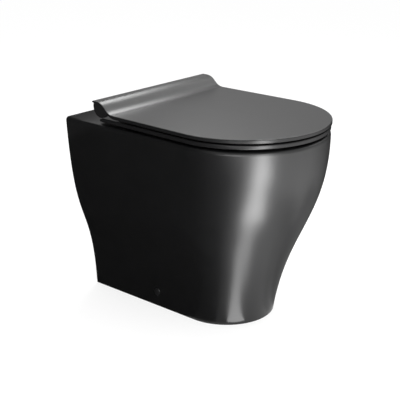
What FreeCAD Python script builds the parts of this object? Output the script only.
"""Back to wall toilet: a skirted pan with a soft-close seat and lid.

Millimetres, +Z up. The front looks along -Y and the wall stands at +Y.
The origin is on the floor, in the middle of the space that the toilet takes.
Distances "from the wall" are measured from the wall plane towards the front.
"""
import math
import os

import FreeCAD
import Part

V = FreeCAD.Vector

# Pan, outside
PAN_WIDTH = 360.0
PAN_DEPTH = 524.0
PAN_HEIGHT = 412.0
FOOT_WIDTH = 212.0
FOOT_DEPTH = 407.0
REAR_CORNER = 8.0
# The body is cast this much deeper and then ground off flat, so that its back stands on the wall
WALL_TRIM = 12.0
RIM_ROUND = 7.5
PAN_SECTIONS = 12
# Handles of the two curves by which the foot swells into the rim:
# (share of the height, share of the swelling) for each handle
SIDE_CURVE = ((0.53, 0.165), (0.32, 0.795))
NOSE_CURVE = ((0.493, 0.296), (0.573, 1.031))

# Pan, walls
SKIRT_WALL = 11.0
DECK_THICKNESS = 16.0
BOWL_WALL = 10.0

# Bowl
RIM_SIDE = 60.0
RIM_FRONT = 46.0
DECK_DEPTH = 180.0
BOWL_REAR_REACH = 140.0
BOWL_EDGE_ROUND = 6.0
SUMP_CENTRE = 268.0
SUMP_HEIGHT = 77.0
SUMP_SWELL = 3.0
# How the bowl narrows: (share of the way down, share of the way in to the sump)
BOWL_STEPS = ((0.0, 0.0), (0.14, 0.03), (0.32, 0.17), (0.52, 0.46), (0.72, 0.78), (0.88, 0.955), (1.0, 1.0))
OUTLINE_POINTS = 32

# Trap way and waste spigot
TRAP_RADIUS = 35.0
TRAP_WALL = 9.0
TRAP_BEND = 60.0
TRAP_FOOT = 205.0
TRAP_CREST = 160.0
TRAP_CREST_HEIGHT = 197.0
OUTLET_HEIGHT = 185.0
OUTLET_SETBACK = 60.0
SPIGOT_RADIUS = 51.0
SPIGOT_LENGTH = 50.0
MOUTH_FLARE = 3.0

# Flush inlet
INLET_DROP = 82.0
INLET_SETBACK = 65.0
SOCKET_RADIUS = 27.5
SOCKET_DEPTH = 30.0
SOCKET_WALL = 10.0
FLUSH_PIPE_RADIUS = 22.0
CHAMBER_START = 132.0
CHAMBER_HALF_WIDTH = 40.0
CHAMBER_HALF_HEIGHT = 12.0
SEAL_FLANGE_RADIUS = 32.0
SEAL_FLANGE_THICKNESS = 3.0

# Seat and lid, stacked on the rim
SEAT_GAP = 5.0
SEAT_THICKNESS = 9.0
LID_GAP = 4.0
LID_THICKNESS = 7.0
LID_OVERHANG = 1.9
LID_TAPER = 4.9
LID_REAR = 80.0
LID_CORNER = 1.5
LID_ROUND = 1.8
HUMP_RISE = 22.5
HUMP_FLAT = 11.0
HUMP_RUN = 52.0
HUMP_LEAN = 3.0
HUMP_SHELL = 4.7
LIP_THICKNESS = 2.4
BELLY_SETBACK = 27.0
BELLY_DROP = 2.8
BELLY_RADIUS = 22.3
END_CAP_THICKNESS = 6.0
SEAT_INSET = 2.0
SEAT_REAR_INSET = 10.0
SEAT_CORNER = 18.0
SEAT_ROUND = 2.4
SEAT_RAMP = 22.0
SEAT_TAIL = 1.6
RING_SIDE = 74.0
RING_FRONT = 63.0
OPENING_REAR = 207.0
OPENING_REAR_REACH = 118.0

# Buffers, two at the sides towards the rear and two on the round front
BUFFER_EDGE = 32.0
BUFFER_FRONT_ANGLE = 53.0
SEAT_BUFFER_REAR = 215.0
LID_BUFFER_REAR = 240.0
BUFFER_RADIUS = 8.0
BUFFER_PEG_RADIUS = 3.0
BUFFER_PEG_LENGTH = 4.0
BUFFER_REST = 0.1

# Hinge
HINGE_PITCH = 155.0
AXIS_INSET = 6.0
BARREL_RADIUS = 12.5
BARREL_GAP = 2.3
BLOCK_FOOT_REAR = 12.0
BLOCK_FOOT_FRONT = 32.0
BLOCK_FRONT_DROP = 8.0
PILLAR_OFFSET = 22.0
PILLAR_RADIUS = 5.0
PILLAR_TOP_DROP = 9.5
DISC_RADIUS = 19.0
DISC_THICKNESS = 2.5
GASKET_THICKNESS = 1.0
GASKET_INSET = 0.5
STUD_RADIUS = 4.0
STUD_LENGTH = 42.0
DECK_HOLE_RADIUS = 7.0
WASHER_RADIUS = 14.0
WASHER_THICKNESS = 4.0
NUT_RADIUS = 9.0
NUT_HEIGHT = 14.0
WING_SPAN = 36.0
WING_THICKNESS = 4.0
GRUB_RADIUS = 2.0
GRUB_HEIGHT = 8.0
LUG_GAP = 1.0
SEAT_LUG_WIDTH = 13.0
SEAT_LUG_RADIUS = 10.0
LID_LUG_WIDTH = 8.0
LID_LUG_RADIUS = 9.0
NOTCH_SIDE_GAP = 3.0
NOTCH_FRONT_GAP = 4.0
DAMPER_RADIUS = 8.5
DAMPER_LENGTH = 24.0
ROTOR_RADIUS = 6.0
ROTOR_LENGTH = 18.0
DAMPER_END_WALL = 4.0
SHAFT_RADIUS = 4.0
SHAFT_FLAT = 3.0
PIN_SEAT_DEPTH = 7.0
BUSH_WALL = 2.0

# Floor fixing on each side
FIXING_SETBACK = 195.0
FIXING_HEIGHT = 34.0
CAP_RADIUS = 10.0
CAP_HEIGHT = 6.5
CAP_RIM = 2.5
CAP_CLEARANCE = 0.4
SPOT_DEPTH = 1.2
SPOT_MARGIN = 0.6
SIDE_SCREW_RADIUS = 3.0
SCREW_HEAD_RADIUS = 5.5
SCREW_HEAD_HEIGHT = 2.6
SLEEVE_WALL = 2.5
SLEEVE_FLANGE_RADIUS = 7.5
SLEEVE_FLANGE_THICKNESS = 1.2
BRACKET_GAP = 4.0
BRACKET_THICKNESS = 8.0
BRACKET_BASE_THICKNESS = 5.0
BRACKET_LENGTH = 50.0
BRACKET_DEPTH = 40.0
BRACKET_TOP_MARGIN = 14.0
FLOOR_HOLE_RADIUS = 4.0
FLOOR_HOLE_INSET = 21.0

# Fits, and how near two places are to count as one
RUNNING_CLEARANCE = 0.05
SLIP_CLEARANCE = 0.1
TOUCH = 0.001
# How far a cutting shape reaches past the face that it cuts
PAST = 1.0

# Worked out from the sizes above
OVERALL_DEPTH = PAN_DEPTH + LID_OVERHANG
WALL_Y = OVERALL_DEPTH / 2
SEAT_BOTTOM = PAN_HEIGHT + SEAT_GAP
SEAT_TOP = SEAT_BOTTOM + SEAT_THICKNESS
LID_BOTTOM = SEAT_TOP + LID_GAP
LID_TOP = LID_BOTTOM + LID_THICKNESS
HUMP_TOP = LID_TOP + HUMP_RISE
LID_HALF = PAN_WIDTH / 2 + LID_OVERHANG
LID_ARC_CENTRE = OVERALL_DEPTH - LID_HALF
HUMP_BACK = LID_REAR + HUMP_FLAT
HUMP_FRONT = HUMP_BACK + HUMP_RUN
BELLY_CENTRE = LID_REAR + BELLY_SETBACK
SEAT_REAR = LID_REAR + SEAT_REAR_INSET
BOWL_HALF_WIDTH = PAN_WIDTH / 2 - RIM_SIDE
BOWL_CENTRE = DECK_DEPTH + BOWL_REAR_REACH
BOWL_FRONT_REACH = PAN_DEPTH - RIM_FRONT - BOWL_CENTRE
INLET_HEIGHT = PAN_HEIGHT - INLET_DROP
OPENING_HALF_WIDTH = LID_HALF - RING_SIDE
OPENING_CENTRE = OPENING_REAR + OPENING_REAR_REACH
OPENING_FRONT_REACH = OVERALL_DEPTH - RING_FRONT - OPENING_CENTRE
AXIS_SETBACK = LID_REAR + AXIS_INSET
AXIS_HEIGHT = HUMP_TOP - HUMP_SHELL - BARREL_GAP - BARREL_RADIUS
BLOCK_WIDTH = DAMPER_LENGTH + PIN_SEAT_DEPTH
DISC_TOP = PAN_HEIGHT + GASKET_THICKNESS + DISC_THICKNESS
BLOCK_BOTTOM_DROP = AXIS_HEIGHT - DISC_TOP
BLOCK_INNER = (HINGE_PITCH - BLOCK_WIDTH) / 2
BLOCK_OUTER = BLOCK_INNER + BLOCK_WIDTH
SEAT_LUG_OUTER = BLOCK_INNER - LUG_GAP
SEAT_LUG_INNER = SEAT_LUG_OUTER - SEAT_LUG_WIDTH
LID_LUG_INNER = BLOCK_OUTER + LUG_GAP
LID_LUG_OUTER = LID_LUG_INNER + LID_LUG_WIDTH
PILLAR_SETBACK = AXIS_SETBACK + PILLAR_OFFSET
PILLAR_TOP = AXIS_HEIGHT - PILLAR_TOP_DROP
BRACKET_OUTER = FOOT_WIDTH / 2 - SKIRT_WALL - BRACKET_GAP
BRACKET_INNER = BRACKET_OUTER - BRACKET_LENGTH
DECK_UNDERSIDE = PAN_HEIGHT - DECK_THICKNESS
LEFT = -1
RIGHT = 1


def y_at(from_wall):
    """The Y coordinate of a distance from the wall."""
    return WALL_Y - from_wall


def bezier(first, second, t):
    """A cubic curve from 0 to 1 with two handles."""
    return 3 * (1 - t) ** 2 * t * first + 3 * (1 - t) * t ** 2 * second + t ** 3


def swelling(curve, height_share):
    """How far the foot has swollen into the rim at a share of the height."""
    low = 0.0
    high = 1.0
    for _ in range(50):
        middle = (low + high) / 2
        if bezier(curve[0][0], curve[1][0], middle) < height_share:
            low = middle
        else:
            high = middle
    return bezier(curve[0][1], curve[1][1], low)


def pan_half_width(z):
    return (FOOT_WIDTH + (PAN_WIDTH - FOOT_WIDTH) * swelling(SIDE_CURVE, z / PAN_HEIGHT)) / 2


def pan_depth(z):
    return FOOT_DEPTH + (PAN_DEPTH - FOOT_DEPTH) * swelling(NOSE_CURVE, z / PAN_HEIGHT)


def box(x0, x1, from_wall0, from_wall1, z0, z1):
    """A box between two X, two distances from the wall and two heights."""
    return Part.makeBox(x1 - x0, from_wall1 - from_wall0, z1 - z0, V(x0, y_at(from_wall1), z0))


def rod(radius, x0, x1, from_wall, z):
    """A round bar along X."""
    return Part.makeCylinder(radius, abs(x1 - x0), V(min(x0, x1), y_at(from_wall), z), V(1, 0, 0))


def post(radius, x, from_wall, z0, z1):
    """A round bar along Z."""
    return Part.makeCylinder(radius, z1 - z0, V(x, y_at(from_wall), z0))


def pipe(radius, from_wall0, from_wall1, z):
    """A round bar along Y in the middle plane, between two distances from the wall."""
    return Part.makeCylinder(radius, from_wall1 - from_wall0, V(0, y_at(from_wall1), z), V(0, 1, 0))


def plate(points, x0, x1):
    """An outline of (from the wall, height) points, drawn out along X."""
    corners = [V(x0, y_at(distance), z) for distance, z in points]
    face = Part.Face(Part.makePolygon(corners + corners[:1]))
    return face.extrude(V(x1 - x0, 0, 0))


def hinge_plate(points, x0, x1):
    """The same, with points (forward, up) from the hinge axis."""
    return plate([(AXIS_SETBACK + forward, AXIS_HEIGHT + up) for forward, up in points], x0, x1)


def mirrored(shape):
    return shape.mirror(V(0, 0, 0), V(1, 0, 0))


def joined(shapes):
    return shapes[0].fuse(shapes[1:]).removeSplitter()


def rounded(shape, radius, chosen):
    """Round the edges that a test picks."""
    edges = [edge for edge in shape.Edges if chosen(edge)]
    return shape.makeFillet(radius, edges)


def level(edge, z):
    """Whether an edge lies at one height."""
    bounds = edge.BoundBox
    return abs(bounds.ZMin - z) < TOUCH and abs(bounds.ZMax - z) < TOUCH


def save(name, shape):
    shape.exportStep("parts/%s.step" % name)


# Pan

def d_outline(half, front, z, rear, corner):
    """Straight sides from the wall, a round front and two rear corners."""
    centre_y = y_at(front - half)
    rear_y = y_at(rear)
    bulge = corner * (1 - math.sqrt(0.5))
    edges = [Part.makeLine(V(half, centre_y, z), V(half, rear_y - corner, z))]
    edges.append(Part.Arc(V(half, rear_y - corner, z), V(half - bulge, rear_y - bulge, z),
                          V(half - corner, rear_y, z)).toShape())
    edges.append(Part.makeLine(V(half - corner, rear_y, z), V(corner - half, rear_y, z)))
    edges.append(Part.Arc(V(corner - half, rear_y, z), V(bulge - half, rear_y - bulge, z),
                          V(-half, rear_y - corner, z)).toShape())
    edges.append(Part.makeLine(V(-half, rear_y - corner, z), V(-half, centre_y, z)))
    edges.append(Part.Arc(V(-half, centre_y, z), V(0, centre_y - half, z), V(half, centre_y, z)).toShape())
    return Part.Wire(edges)


def skirt_loft(inset, rear, top):
    """The bell-shaped body, moved in by an inset, from the floor to a height."""
    outlines = []
    for step in range(PAN_SECTIONS + 1):
        z = top * step / PAN_SECTIONS
        outlines.append(d_outline(pan_half_width(z) - inset, pan_depth(z) - inset, z, rear, REAR_CORNER))
    return Part.makeLoft(outlines, True, False)


def oval(centre, half_width, front_reach, rear_reach, z):
    """A closed outline of two half ellipses."""
    points = []
    for step in range(OUTLINE_POINTS):
        angle = 2 * math.pi * step / OUTLINE_POINTS
        reach = front_reach if math.cos(angle) > 0 else rear_reach
        points.append(V(half_width * math.sin(angle), y_at(centre + reach * math.cos(angle)), z))
    curve = Part.BSplineCurve()
    curve.interpolate(points, PeriodicFlag=True)
    return Part.Wire([curve.toShape()])


def bowl_loft(wall):
    """The bowl from the rim down to its round sump, grown by a wall."""
    outlines = []
    for down, narrowed in BOWL_STEPS:
        z = PAN_HEIGHT + (SUMP_HEIGHT - PAN_HEIGHT) * down
        centre = BOWL_CENTRE + (SUMP_CENTRE - BOWL_CENTRE) * narrowed
        half = BOWL_HALF_WIDTH + (TRAP_RADIUS - BOWL_HALF_WIDTH) * narrowed + wall
        front = BOWL_FRONT_REACH + (TRAP_RADIUS - BOWL_FRONT_REACH) * narrowed + wall
        rear = BOWL_REAR_REACH + (TRAP_RADIUS - BOWL_REAR_REACH) * narrowed + wall
        outlines.append(oval(centre, half, front, rear, z))
    sump = Part.makeSphere(TRAP_RADIUS + SUMP_SWELL + wall, V(0, y_at(SUMP_CENTRE), SUMP_HEIGHT))
    return Part.makeLoft(outlines, True, False).fuse(sump)


def bend(before, corner, after, radius):
    """Where a round bend leaves and joins two straight runs, and its middle."""
    back = (before - corner).normalize()
    ahead = (after - corner).normalize()
    half_angle = back.getAngle(ahead) / 2
    reach = radius / math.tan(half_angle)
    inward = (back + ahead).normalize()
    centre = corner + inward * (radius / math.sin(half_angle))
    return corner + back * reach, centre - inward * radius, corner + ahead * reach


def trap_tube(radius):
    """The trap way: back from the sump, up over the weir and out to the wall."""
    start = V(0, y_at(SUMP_CENTRE), SUMP_HEIGHT)
    low = V(0, y_at(TRAP_FOOT), SUMP_HEIGHT)
    crest = V(0, y_at(TRAP_CREST), TRAP_CREST_HEIGHT)
    mouth = V(0, y_at(OUTLET_SETBACK), OUTLET_HEIGHT)
    in1, mid1, out1 = bend(start, low, crest, TRAP_BEND)
    in2, mid2, out2 = bend(low, crest, mouth, TRAP_BEND)
    edges = [Part.makeLine(start, in1)]
    edges.append(Part.Arc(in1, mid1, out1).toShape())
    edges.append(Part.makeLine(out1, in2))
    edges.append(Part.Arc(in2, mid2, out2).toShape())
    edges.append(Part.makeLine(out2, mouth))
    ring = Part.Wire([Part.makeCircle(radius, start, V(0, 1, 0))])
    return Part.Wire(edges).makePipeShell([ring], True, False)


def flush_chamber(wall):
    """The flat chamber behind the bowl that spreads the flush."""
    half_height = CHAMBER_HALF_HEIGHT + wall
    side = CHAMBER_HALF_WIDTH - CHAMBER_HALF_HEIGHT
    start = CHAMBER_START - wall
    end = BOWL_CENTRE - BOWL_REAR_REACH + BOWL_WALL + wall
    middle = box(-side, side, start, end, INLET_HEIGHT - half_height, INLET_HEIGHT + half_height)
    ends = []
    for hand in (LEFT, RIGHT):
        foot = V(hand * side, y_at(end), INLET_HEIGHT)
        ends.append(Part.makeCylinder(half_height, end - start, foot, V(0, 1, 0)))
    return middle.fuse(ends)


def side_face(z):
    """Half the pan's width at the spot faces of the side fixings."""
    return pan_half_width(z) - SPOT_DEPTH


def make_pan():
    body = skirt_loft(0, -WALL_TRIM, PAN_HEIGHT)
    body = rounded(body, RIM_ROUND, lambda edge: level(edge, PAN_HEIGHT))
    hollow = skirt_loft(SKIRT_WALL, -2 * SKIRT_WALL, DECK_UNDERSIDE)
    behind_wall = box(-PAN_WIDTH, PAN_WIDTH, -PAN_WIDTH, 0, -PAST, PAN_HEIGHT + PAST)
    shell = body.cut([hollow, behind_wall])
    spigot = pipe(SPIGOT_RADIUS, OUTLET_SETBACK, OUTLET_SETBACK + SPIGOT_LENGTH, OUTLET_HEIGHT)
    socket = pipe(SOCKET_RADIUS + SOCKET_WALL, INLET_SETBACK, CHAMBER_START, INLET_HEIGHT)
    past_spigot = pipe(2 * SPIGOT_RADIUS, 0, OUTLET_SETBACK + PAST, OUTLET_HEIGHT)
    trap_wall = trap_tube(TRAP_RADIUS + TRAP_WALL).cut(past_spigot)
    inside = [bowl_loft(BOWL_WALL), trap_wall, spigot, socket]
    inside.append(flush_chamber(SOCKET_WALL))
    pan = shell.fuse(inside)
    mouth = pipe(TRAP_RADIUS + MOUTH_FLARE, OUTLET_SETBACK - TRAP_WALL, OUTLET_SETBACK + TRAP_WALL,
                 OUTLET_HEIGHT)
    cuts = [bowl_loft(0), trap_tube(TRAP_RADIUS), mouth, flush_chamber(0)]
    cuts.append(pipe(SOCKET_RADIUS, INLET_SETBACK - SOCKET_WALL, INLET_SETBACK + SOCKET_DEPTH, INLET_HEIGHT))
    cuts.append(pipe(FLUSH_PIPE_RADIUS, INLET_SETBACK, CHAMBER_START + CHAMBER_HALF_HEIGHT, INLET_HEIGHT))
    for hand in (LEFT, RIGHT):
        x = hand * HINGE_PITCH / 2
        cuts.append(post(DECK_HOLE_RADIUS, x, PILLAR_SETBACK, DECK_UNDERSIDE - PAST, PAN_HEIGHT + PAST))
        face = side_face(FIXING_HEIGHT)
        hole = SIDE_SCREW_RADIUS + SLEEVE_WALL + 2 * SLIP_CLEARANCE
        cuts.append(rod(hole, hand * (face - 2 * SKIRT_WALL), hand * face, FIXING_SETBACK, FIXING_HEIGHT))
        cuts.append(rod(CAP_RADIUS + SPOT_MARGIN, hand * face, hand * (face + SKIRT_WALL),
                        FIXING_SETBACK, FIXING_HEIGHT))
    pan = pan.cut(cuts)
    edge_reach = BOWL_HALF_WIDTH * 2 + 1

    def bowl_edge(edge):
        return level(edge, PAN_HEIGHT) and edge.BoundBox.XLength > BOWL_HALF_WIDTH and \
            edge.BoundBox.XLength < edge_reach

    return rounded(pan, BOWL_EDGE_ROUND, bowl_edge)


def make_inlet_seal():
    flange = pipe(SEAL_FLANGE_RADIUS, INLET_SETBACK - SEAL_FLANGE_THICKNESS, INLET_SETBACK, INLET_HEIGHT)
    body = pipe(SOCKET_RADIUS, INLET_SETBACK, INLET_SETBACK + SOCKET_DEPTH, INLET_HEIGHT)
    bore = pipe(FLUSH_PIPE_RADIUS, INLET_SETBACK - 2 * SEAL_FLANGE_THICKNESS,
                INLET_SETBACK + SOCKET_DEPTH + SEAL_FLANGE_THICKNESS, INLET_HEIGHT)
    return joined([flange, body]).cut(bore)


# Lid and seat outlines

def tapered_outline(inset, rear, z):
    """Sides that taper towards the rear and run smoothly into the round front."""
    radius = LID_HALF - inset
    centre = V(0, y_at(LID_ARC_CENTRE), z)
    rear_half = radius - LID_TAPER
    behind = LID_ARC_CENTRE - rear
    distance = math.hypot(rear_half, behind)
    angle = math.atan2(behind, rear_half) - math.acos(radius / distance)
    touch = centre + V(radius * math.cos(angle), radius * math.sin(angle), 0)
    corner = V(rear_half, y_at(rear), z)
    other_touch = V(-touch.x, touch.y, z)
    other_corner = V(-corner.x, corner.y, z)
    edges = [Part.makeLine(touch, corner), Part.makeLine(corner, other_corner)]
    edges.append(Part.makeLine(other_corner, other_touch))
    edges.append(Part.Arc(other_touch, V(0, centre.y - radius, z), touch).toShape())
    return Part.Wire(edges)


def tapered_slab(inset, rear, corner, z0, z1):
    """That outline as a slab with its two rear corners rounded."""
    slab = Part.Face(tapered_outline(inset, rear, z0)).extrude(V(0, 0, z1 - z0))
    rear_y = y_at(rear)

    def rear_edge(edge):
        bounds = edge.BoundBox
        return bounds.ZLength > (z1 - z0) / 2 and bounds.YLength < TOUCH and abs(bounds.YMax - rear_y) < TOUCH

    return rounded(slab, corner, rear_edge)


# Lid

def lid_curve(points):
    """A curve along (from the wall, height) handles, on the lid's left."""
    curve = Part.BezierCurve()
    curve.setPoles([V(-PAN_WIDTH, y_at(distance), z) for distance, z in points])
    return curve.toShape()


def lid_line(first, second):
    return Part.makeLine(V(-PAN_WIDTH, y_at(first[0]), first[1]), V(-PAN_WIDTH, y_at(second[0]), second[1]))


def hump_curve(front, back, low, high):
    """The handles of the S-curve from the flat lid up onto the hump."""
    middle = (front + back) / 2
    return ((front, low), (middle - HUMP_LEAN, low), (middle + HUMP_LEAN, high), (back, high))


def lid_profile(underside):
    """The lid's side outline, closed along an underside of curves and lines."""
    top = hump_curve(HUMP_FRONT, HUMP_BACK, LID_TOP, HUMP_TOP)
    nose = (OVERALL_DEPTH + LID_THICKNESS, LID_TOP)
    tail = (LID_REAR - LID_CORNER, HUMP_TOP)
    edges = [lid_line(nose, top[0]), lid_curve(top), lid_line(top[-1], tail)]
    edges += underside(nose, tail)
    return Part.Face(Part.Wire(edges)).extrude(V(2 * PAN_WIDTH, 0, 0))


def thin_underside(nose, tail):
    """Below the plate and up inside the hump."""
    shift = (LID_THICKNESS - HUMP_SHELL) / 2 + HUMP_SHELL
    under = hump_curve(HUMP_FRONT + shift, HUMP_BACK + HUMP_SHELL, LID_BOTTOM, HUMP_TOP - HUMP_SHELL)
    inner_tail = (tail[0], HUMP_TOP - LIP_THICKNESS)
    inner_nose = (nose[0], LID_BOTTOM)
    edges = [lid_line(tail, inner_tail), lid_line(inner_tail, under[-1]), lid_curve(under[::-1])]
    return edges + [lid_line(under[0], inner_nose), lid_line(inner_nose, nose)]


def deep_underside(nose, tail):
    """Straight down to below the belly of the end caps."""
    floor = LID_TOP - 2 * BELLY_RADIUS
    low_tail = (tail[0], floor)
    low_nose = (nose[0], floor)
    return [lid_line(tail, low_tail), lid_line(low_tail, low_nose), lid_line(low_nose, nose)]


def flat_hole(radius, flat, x0, x1):
    """A bar along the hinge axis with two flats."""
    bar = rod(radius, x0, x1, AXIS_SETBACK, AXIS_HEIGHT)
    slab = box(min(x0, x1), max(x0, x1), AXIS_SETBACK - 2 * radius, AXIS_SETBACK + 2 * radius,
               AXIS_HEIGHT - flat, AXIS_HEIGHT + flat)
    return bar.common(slab)


def bush_hole(x0, x1):
    radius = SHAFT_RADIUS + RUNNING_CLEARANCE + BUSH_WALL + RUNNING_CLEARANCE
    return rod(radius, x0, x1, AXIS_SETBACK, AXIS_HEIGHT)


def key_hole(x0, x1):
    return flat_hole(SHAFT_RADIUS + RUNNING_CLEARANCE, SHAFT_FLAT + RUNNING_CLEARANCE, x0, x1)


def buffer_posts(rear, z0, z1, radius):
    """A round post at each of the four buffers of the seat or the lid."""
    reach = LID_HALF - BUFFER_EDGE
    angle = math.radians(BUFFER_FRONT_ANGLE)
    posts = []
    for hand in (LEFT, RIGHT):
        posts.append(post(radius, hand * reach, rear, z0, z1))
        front = LID_ARC_CENTRE + reach * math.cos(angle)
        posts.append(post(radius, hand * reach * math.sin(angle), front, z0, z1))
    return posts


def lid_lug():
    """The rib inside the hump that carries the lid on its axis."""
    boss = rod(LID_LUG_RADIUS, LID_LUG_INNER, LID_LUG_OUTER, AXIS_SETBACK, AXIS_HEIGHT)
    hump_reach = HUMP_FRONT - AXIS_SETBACK
    ceiling = HUMP_TOP - AXIS_HEIGHT
    under = LID_BOTTOM - AXIS_HEIGHT + HUMP_SHELL
    web = [(0, -LID_LUG_RADIUS / 2), (0, ceiling), (hump_reach, ceiling), (hump_reach, under),
           (LID_LUG_RADIUS, -LID_LUG_RADIUS / 2)]
    return joined([boss, hinge_plate(web, LID_LUG_INNER, LID_LUG_OUTER)])


def lid_top_edge(edge):
    """Whether an edge runs round the lid's top, and not across it."""
    bounds = edge.BoundBox
    if bounds.YLength < TOUCH and bounds.YMax < y_at(HUMP_BACK) + TOUCH:
        return False
    climbs = abs(bounds.ZMin - LID_TOP) < TOUCH and abs(bounds.ZMax - HUMP_TOP) < TOUCH
    return climbs or level(edge, LID_TOP) or level(edge, HUMP_TOP)


def make_lid():
    floor = LID_TOP - 2 * BELLY_RADIUS
    envelope = tapered_slab(0, LID_REAR, LID_CORNER, floor, HUMP_TOP + LID_THICKNESS)
    plate_shape = lid_profile(thin_underside).common(envelope)
    under_top = lid_profile(deep_underside).common(envelope)
    belly_height = LID_BOTTOM - BELLY_DROP + BELLY_RADIUS
    cap_inner = LID_HALF - LID_TAPER - END_CAP_THICKNESS
    extras = [lid_lug(), mirrored(lid_lug())]
    for hand in (LEFT, RIGHT):
        extras.append(rod(BELLY_RADIUS, hand * cap_inner, hand * PAN_WIDTH, BELLY_CENTRE, belly_height))
    lid = joined([plate_shape] + [extra.common(under_top) for extra in extras])
    lid = rounded(lid, LID_ROUND, lid_top_edge)
    reach = 2 * LID_LUG_WIDTH
    lid = lid.cut([key_hole(-LID_LUG_INNER + reach, -LID_LUG_OUTER - PAST),
                   bush_hole(LID_LUG_INNER - reach, LID_LUG_OUTER + PAST)])
    return lid.cut(buffer_posts(LID_BUFFER_REAR, LID_BOTTOM - PAST, LID_BOTTOM + BUFFER_PEG_LENGTH,
                                BUFFER_PEG_RADIUS))


# Seat

def seat_lug():
    """The lug that carries the seat on its axis."""
    boss = rod(SEAT_LUG_RADIUS, SEAT_LUG_INNER, SEAT_LUG_OUTER, AXIS_SETBACK, AXIS_HEIGHT)
    low = SEAT_BOTTOM - AXIS_HEIGHT
    high = SEAT_TOP - AXIS_HEIGHT
    start = SEAT_REAR - AXIS_SETBACK
    web = [(0, 0), (start, low), (start + SEAT_RAMP + SEAT_LUG_RADIUS, low),
           (start + SEAT_RAMP + SEAT_LUG_RADIUS, high), (start + SEAT_RAMP, high + SEAT_TAIL),
           (SEAT_LUG_RADIUS, 0)]
    return joined([boss, hinge_plate(web, SEAT_LUG_INNER, SEAT_LUG_OUTER)])


def make_seat():
    ring = tapered_slab(SEAT_INSET, SEAT_REAR, SEAT_CORNER, SEAT_BOTTOM, SEAT_TOP)
    inner = oval(OPENING_CENTRE, OPENING_HALF_WIDTH, OPENING_FRONT_REACH, OPENING_REAR_REACH,
                 SEAT_BOTTOM - PAST)
    ring = ring.cut(Part.Face(inner).extrude(V(0, 0, SEAT_THICKNESS + 2 * PAST)))
    ring = rounded(ring, SEAT_ROUND, lambda edge: level(edge, SEAT_TOP) or level(edge, SEAT_BOTTOM))
    ramp = plate([(SEAT_REAR - PAST, SEAT_BOTTOM + SEAT_TAIL), (SEAT_REAR + SEAT_RAMP, SEAT_TOP + PAST),
                  (SEAT_REAR - PAST, SEAT_TOP + PAST)], -PAN_WIDTH, PAN_WIDTH)
    notch_front = AXIS_SETBACK + BLOCK_FOOT_FRONT + NOTCH_FRONT_GAP
    notch_side = BLOCK_OUTER + NOTCH_SIDE_GAP
    notch = box(SEAT_LUG_OUTER, notch_side, 0, notch_front, SEAT_BOTTOM - PAST, SEAT_TOP + PAST)
    ring = ring.cut([ramp, notch, mirrored(notch)])
    seat = joined([ring, seat_lug(), mirrored(seat_lug())])
    reach = SEAT_LUG_WIDTH + LUG_GAP
    seat = seat.cut([bush_hole(-SEAT_LUG_OUTER - PAST, -SEAT_LUG_OUTER + reach),
                     key_hole(SEAT_LUG_OUTER - reach, SEAT_LUG_OUTER + PAST)])
    return seat.cut(buffer_posts(SEAT_BUFFER_REAR, SEAT_BOTTOM - PAST, SEAT_BOTTOM + BUFFER_PEG_LENGTH,
                                 BUFFER_PEG_RADIUS))


def make_buffers(rear, gap, base):
    """Four round buffers with pegs that hold them in the piece above."""
    heads = buffer_posts(rear, base - gap + BUFFER_REST, base, BUFFER_RADIUS)
    pegs = buffer_posts(rear, base, base + BUFFER_PEG_LENGTH, BUFFER_PEG_RADIUS)
    return Part.makeCompound([joined([head, peg]) for head, peg in zip(heads, pegs)])


# Hinge

def make_block(hand):
    """A hinge block: a barrel on the axis and a foot over its pillar."""
    x0 = hand * BLOCK_INNER
    x1 = hand * BLOCK_OUTER
    barrel = rod(BARREL_RADIUS, x0, x1, AXIS_SETBACK, AXIS_HEIGHT)
    low = -BLOCK_BOTTOM_DROP
    foot = [(0, 0), (BLOCK_FOOT_REAR, -BARREL_RADIUS), (BLOCK_FOOT_REAR, low), (BLOCK_FOOT_FRONT, low),
            (BLOCK_FOOT_FRONT, -BLOCK_FRONT_DROP), (PILLAR_OFFSET, 0), (0, BARREL_RADIUS)]
    block = joined([barrel, hinge_plate(foot, min(x0, x1), max(x0, x1))])
    middle = hand * HINGE_PITCH / 2
    socket = post(PILLAR_RADIUS + SLIP_CLEARANCE, middle, PILLAR_SETBACK, DISC_TOP - PAST,
                  PILLAR_TOP + SLIP_CLEARANCE)
    mouth = damper_face(hand)
    bore = rod(DAMPER_RADIUS + RUNNING_CLEARANCE, mouth, mouth + DAMPER_LENGTH, AXIS_SETBACK, AXIS_HEIGHT)
    pin_hole = rod(SHAFT_RADIUS, mouth + DAMPER_LENGTH, mouth + BLOCK_WIDTH, AXIS_SETBACK, AXIS_HEIGHT)
    grub_hole = grub(hand, GRUB_RADIUS, PILLAR_RADIUS)
    return block.cut([socket, bore, pin_hole, grub_hole])


def damper_face(hand):
    """The block's face that its damper's shaft leaves, on the side of -X.

    There the left block meets the lid and the right block meets the seat.
    """
    return -BLOCK_OUTER if hand == LEFT else BLOCK_INNER


def grub(hand, radius, past):
    """A screw along Y from the foot's rear face to the pillar, or a longer hole for it."""
    start = AXIS_SETBACK + BLOCK_FOOT_REAR - past
    end = PILLAR_SETBACK - PILLAR_RADIUS + past
    foot = V(hand * HINGE_PITCH / 2, y_at(end), DISC_TOP + GRUB_HEIGHT)
    return Part.makeCylinder(radius, end - start, foot, V(0, 1, 0))


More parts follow.
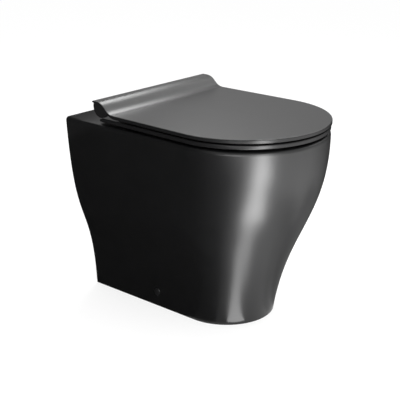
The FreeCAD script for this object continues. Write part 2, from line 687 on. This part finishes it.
def make_damper_body(hand):
    start = damper_face(hand)
    end = start + DAMPER_LENGTH
    wall_end = start + DAMPER_END_WALL
    body = rod(DAMPER_RADIUS, start, end, AXIS_SETBACK, AXIS_HEIGHT)
    chamber = rod(ROTOR_RADIUS + RUNNING_CLEARANCE, wall_end, end, AXIS_SETBACK, AXIS_HEIGHT)
    hole = rod(SHAFT_RADIUS + RUNNING_CLEARANCE, start, wall_end, AXIS_SETBACK, AXIS_HEIGHT)
    return body.cut([chamber, hole])


def make_damper_rotor(hand, lug_far_side):
    start = damper_face(hand)
    wall_end = start + DAMPER_END_WALL + RUNNING_CLEARANCE
    drum = rod(ROTOR_RADIUS, wall_end, wall_end + ROTOR_LENGTH, AXIS_SETBACK, AXIS_HEIGHT)
    neck = rod(SHAFT_RADIUS, start, wall_end, AXIS_SETBACK, AXIS_HEIGHT)
    return joined([drum, neck, flat_hole(SHAFT_RADIUS, SHAFT_FLAT, start, lug_far_side)])


def make_pin(hand, lug_far_side):
    """A plain pin, pressed into the block and running in the lug's bush."""
    return rod(SHAFT_RADIUS, damper_face(hand) + DAMPER_LENGTH, lug_far_side, AXIS_SETBACK, AXIS_HEIGHT)


def make_bush(x0, x1):
    inner = SHAFT_RADIUS + RUNNING_CLEARANCE
    tube = rod(inner + BUSH_WALL, x0, x1, AXIS_SETBACK, AXIS_HEIGHT)
    return tube.cut(rod(inner, x0, x1, AXIS_SETBACK, AXIS_HEIGHT))


def make_pillar(hand):
    """The pillar under a block, with the stud that passes through the deck."""
    x = hand * HINGE_PITCH / 2
    upper = post(PILLAR_RADIUS, x, PILLAR_SETBACK, DISC_TOP, PILLAR_TOP)
    stud = post(STUD_RADIUS, x, PILLAR_SETBACK, PAN_HEIGHT - STUD_LENGTH, DISC_TOP)
    return joined([upper, stud])


def ring(hand, outer, inner, z0, z1):
    """A flat ring round a hinge stud."""
    x = hand * HINGE_PITCH / 2
    return post(outer, x, PILLAR_SETBACK, z0, z1).cut(post(inner, x, PILLAR_SETBACK, z0, z1))


def make_wing_nut(hand):
    top = DECK_UNDERSIDE - WASHER_THICKNESS
    x = hand * HINGE_PITCH / 2
    hub = post(NUT_RADIUS, x, PILLAR_SETBACK, top - NUT_HEIGHT, top)
    wings = box(x - WING_SPAN / 2, x + WING_SPAN / 2, PILLAR_SETBACK - WING_THICKNESS / 2,
                PILLAR_SETBACK + WING_THICKNESS / 2, top - NUT_HEIGHT, top - WING_THICKNESS)
    hole = post(STUD_RADIUS + RUNNING_CLEARANCE, x, PILLAR_SETBACK, top - NUT_HEIGHT, top)
    return joined([hub, wings]).cut(hole)


# Floor fixing

def make_bracket(hand):
    """An L-shaped bracket that stands on the floor inside the skirt."""
    near = FIXING_SETBACK - BRACKET_DEPTH / 2
    far = FIXING_SETBACK + BRACKET_DEPTH / 2
    upright = box(BRACKET_OUTER - BRACKET_THICKNESS, BRACKET_OUTER, near, far, 0,
                  FIXING_HEIGHT + BRACKET_TOP_MARGIN)
    base = box(BRACKET_INNER, BRACKET_OUTER, near, far, 0, BRACKET_BASE_THICKNESS)
    screw_hole = rod(SIDE_SCREW_RADIUS + RUNNING_CLEARANCE, BRACKET_INNER, BRACKET_OUTER + PAST,
                     FIXING_SETBACK, FIXING_HEIGHT)
    floor_hole = post(FLOOR_HOLE_RADIUS, BRACKET_INNER + FLOOR_HOLE_INSET, FIXING_SETBACK,
                      -PAST, BRACKET_BASE_THICKNESS + PAST)
    bracket = joined([upright, base]).cut([screw_hole, floor_hole])
    return bracket if hand == RIGHT else mirrored(bracket)


def make_side_sleeve(hand):
    """A flanged spacer through the skirt, from its spot face to the bracket."""
    face = side_face(FIXING_HEIGHT)
    flange = rod(SLEEVE_FLANGE_RADIUS, hand * face, hand * (face + SLEEVE_FLANGE_THICKNESS),
                 FIXING_SETBACK, FIXING_HEIGHT)
    tube = rod(SIDE_SCREW_RADIUS + SLIP_CLEARANCE + SLEEVE_WALL, hand * BRACKET_OUTER, hand * face,
               FIXING_SETBACK, FIXING_HEIGHT)
    hole = rod(SIDE_SCREW_RADIUS + SLIP_CLEARANCE, hand * (BRACKET_OUTER - PAST), hand * (face + SKIRT_WALL),
               FIXING_SETBACK, FIXING_HEIGHT)
    return joined([flange, tube]).cut(hole)


def make_side_screw(hand):
    seat = side_face(FIXING_HEIGHT) + SLEEVE_FLANGE_THICKNESS
    tip = BRACKET_OUTER - 2 * BRACKET_THICKNESS
    head = rod(SCREW_HEAD_RADIUS, hand * seat, hand * (seat + SCREW_HEAD_HEIGHT),
               FIXING_SETBACK, FIXING_HEIGHT)
    shank = rod(SIDE_SCREW_RADIUS, hand * tip, hand * seat, FIXING_SETBACK, FIXING_HEIGHT)
    return joined([head, shank])


def make_cap(hand):
    """A domed cap that clips over the sleeve's flange."""
    face = side_face(FIXING_HEIGHT)
    crown = CAP_HEIGHT - CAP_RIM
    dome_radius = (CAP_RADIUS ** 2 + crown ** 2) / (2 * crown)
    centre = V(hand * (face + CAP_HEIGHT - dome_radius), y_at(FIXING_SETBACK), FIXING_HEIGHT)
    dome = Part.makeSphere(dome_radius, centre)
    dome = dome.common(rod(CAP_RADIUS, hand * face, hand * (face + CAP_HEIGHT),
                           FIXING_SETBACK, FIXING_HEIGHT))
    head_end = face + SLEEVE_FLANGE_THICKNESS + SCREW_HEAD_HEIGHT + CAP_CLEARANCE
    flange_room = rod(SLEEVE_FLANGE_RADIUS, hand * face, hand * (face + SLEEVE_FLANGE_THICKNESS),
                      FIXING_SETBACK, FIXING_HEIGHT)
    head_room = rod(SCREW_HEAD_RADIUS + CAP_CLEARANCE, hand * face, hand * head_end,
                    FIXING_SETBACK, FIXING_HEIGHT)
    return dome.cut([flange_room, head_room])


def main():
    os.makedirs("parts", exist_ok=True)
    save("pan", make_pan())
    save("inlet_seal", make_inlet_seal())
    save("lid", make_lid())
    save("lid_buffers", make_buffers(LID_BUFFER_REAR, LID_GAP, LID_BOTTOM))
    save("seat_ring", make_seat())
    save("seat_buffers", make_buffers(SEAT_BUFFER_REAR, SEAT_GAP, SEAT_BOTTOM))
    for hand, side in ((LEFT, "left"), (RIGHT, "right")):
        save("hinge_block_" + side, make_block(hand))
        save("hinge_pillar_" + side, make_pillar(hand))
        gasket_top = PAN_HEIGHT + GASKET_THICKNESS
        inner = STUD_RADIUS + RUNNING_CLEARANCE
        save("hinge_gasket_" + side, ring(hand, DISC_RADIUS - GASKET_INSET, inner, PAN_HEIGHT, gasket_top))
        save("hinge_disc_" + side, ring(hand, DISC_RADIUS, inner, gasket_top, DISC_TOP))
        save("grub_screw_" + side, grub(hand, GRUB_RADIUS, 0))
        save("fixing_sleeve_" + side, ring(hand, DECK_HOLE_RADIUS - SLIP_CLEARANCE, inner,
                                           DECK_UNDERSIDE, PAN_HEIGHT))
        save("fixing_washer_" + side, ring(hand, WASHER_RADIUS, inner, DECK_UNDERSIDE - WASHER_THICKNESS,
                                           DECK_UNDERSIDE))
        save("wing_nut_" + side, make_wing_nut(hand))
        save("floor_bracket_" + side, make_bracket(hand))
        save("side_sleeve_" + side, make_side_sleeve(hand))
        save("side_screw_" + side, make_side_screw(hand))
        save("side_cap_" + side, make_cap(hand))
    save("lid_damper_body", make_damper_body(LEFT))
    save("lid_damper_rotor", make_damper_rotor(LEFT, -LID_LUG_OUTER))
    save("seat_damper_body", make_damper_body(RIGHT))
    save("seat_damper_rotor", make_damper_rotor(RIGHT, SEAT_LUG_INNER))
    save("seat_pivot_pin", make_pin(LEFT, -SEAT_LUG_INNER))
    save("lid_pivot_pin", make_pin(RIGHT, LID_LUG_OUTER))
    save("seat_bush", make_bush(-SEAT_LUG_OUTER, -SEAT_LUG_INNER))
    save("lid_bush", make_bush(LID_LUG_INNER, LID_LUG_OUTER))


main()
